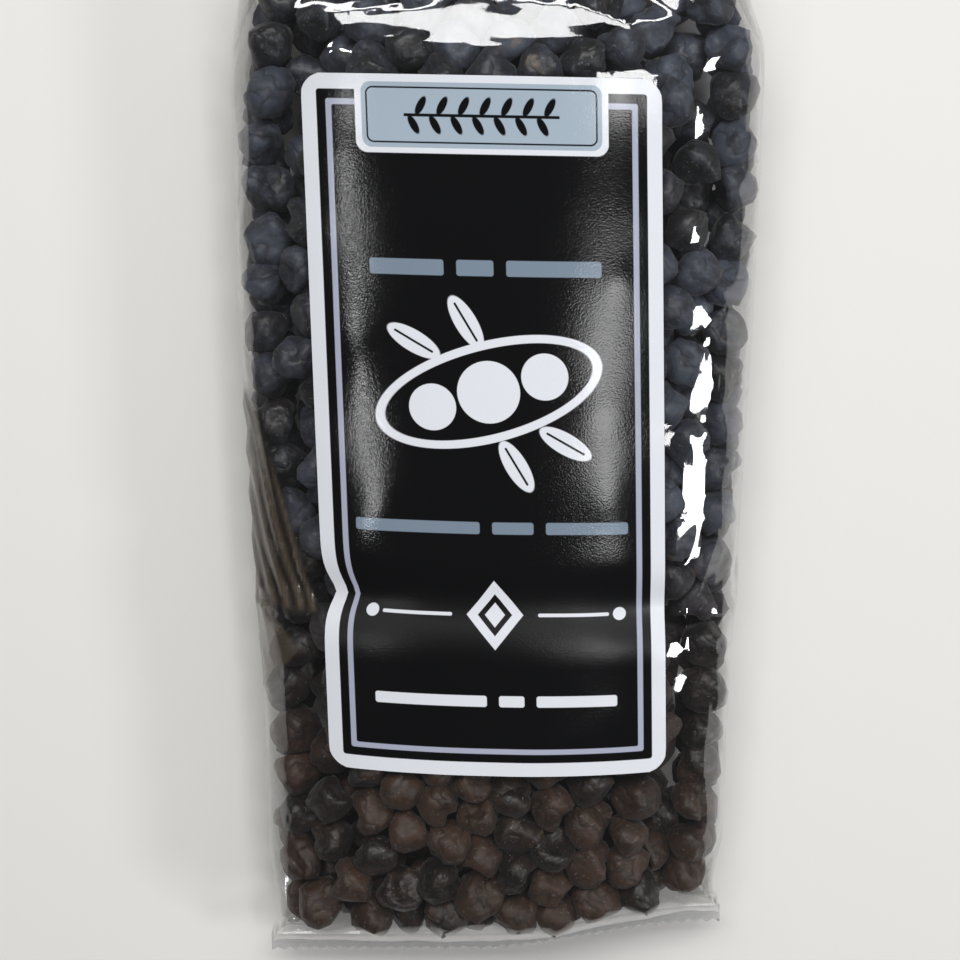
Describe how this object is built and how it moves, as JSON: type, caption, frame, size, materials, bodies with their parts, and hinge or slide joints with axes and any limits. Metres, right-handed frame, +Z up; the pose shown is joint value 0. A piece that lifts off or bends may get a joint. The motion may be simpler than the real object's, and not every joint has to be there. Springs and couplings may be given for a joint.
{
  "type": "bag of chickpeas",
  "caption": "Clear side-gusset film bag of dried black chickpeas with a paper label on its front, crimped at both ends, lying on its back.",
  "frame": {"origin": "centre of the bottom of the bag's box, on the surface that it lies on", "axes": "+X to the bag's right, +Y towards its top end along its length, +Z up out of its labelled front"},
  "size_m": [0.1034, 0.236, 0.0347],
  "materials": {
    "chickpeas": "dry, dusty skin with fine wrinkles",
    "label_paper": "satin coated paper, nearly black with a cool white border",
    "film": "thin clear glossy film"
  },
  "bodies": {
    "root": {"bag": "chickpeas", "label": "label_paper"}
  },
  "joints": []
}
